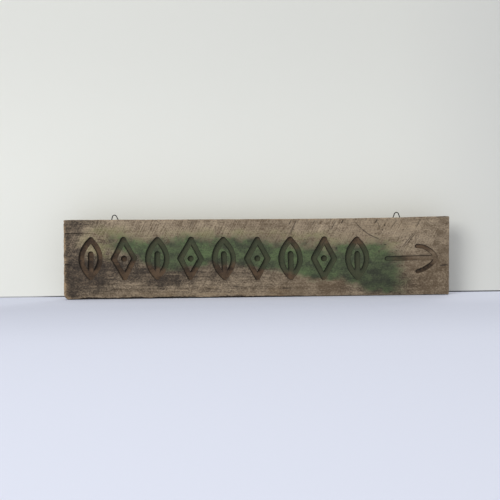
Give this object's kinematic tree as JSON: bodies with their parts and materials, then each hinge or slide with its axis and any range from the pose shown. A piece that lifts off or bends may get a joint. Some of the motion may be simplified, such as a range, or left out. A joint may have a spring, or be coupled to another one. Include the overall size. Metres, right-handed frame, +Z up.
{
  "type": "handmade carved wooden sign",
  "caption": "Old sawn plank with a row of carved ornaments and a carved arrow, standing on its long edge, with swinging wire rings on its back for hanging.",
  "frame": {"origin": "on the ground, under the middle of the whole sign", "axes": "+X along the plank to the right, the way the arrow points; -Y is the carved front; +Z up"},
  "size_m": [0.975, 0.0333, 0.2132],
  "materials": {
    "old_wood": "rough sawn, weathered, with a sprayed green band",
    "strap_steel": "dull, aged",
    "ring_wire": "dull, darkened",
    "screw_steel": "dull, aged"
  },
  "bodies": {
    "board": {"plank": "old_wood", "left_hanger_strap": "strap_steel", "left_upper_screw": "screw_steel", "left_lower_screw": "screw_steel", "right_hanger_strap": "strap_steel", "right_upper_screw": "screw_steel", "right_lower_screw": "screw_steel"},
    "left_ring": {"left_wire_ring": "ring_wire"},
    "right_ring": {"right_wire_ring": "ring_wire"}
  },
  "joints": [
    {"name": "left_ring_swing", "type": "hinge", "parent": "board", "child": "left_ring", "pos_m": [-0.3575, 0.01415, 0.19133], "axis": [-0.9976, 0, -0.0698], "range_deg": [0, 183]},
    {"name": "right_ring_swing", "type": "hinge", "parent": "board", "child": "right_ring", "pos_m": [0.3575, 0.01415, 0.18854], "axis": [-1, 0, 0], "range_deg": [0, 185]}
  ]
}
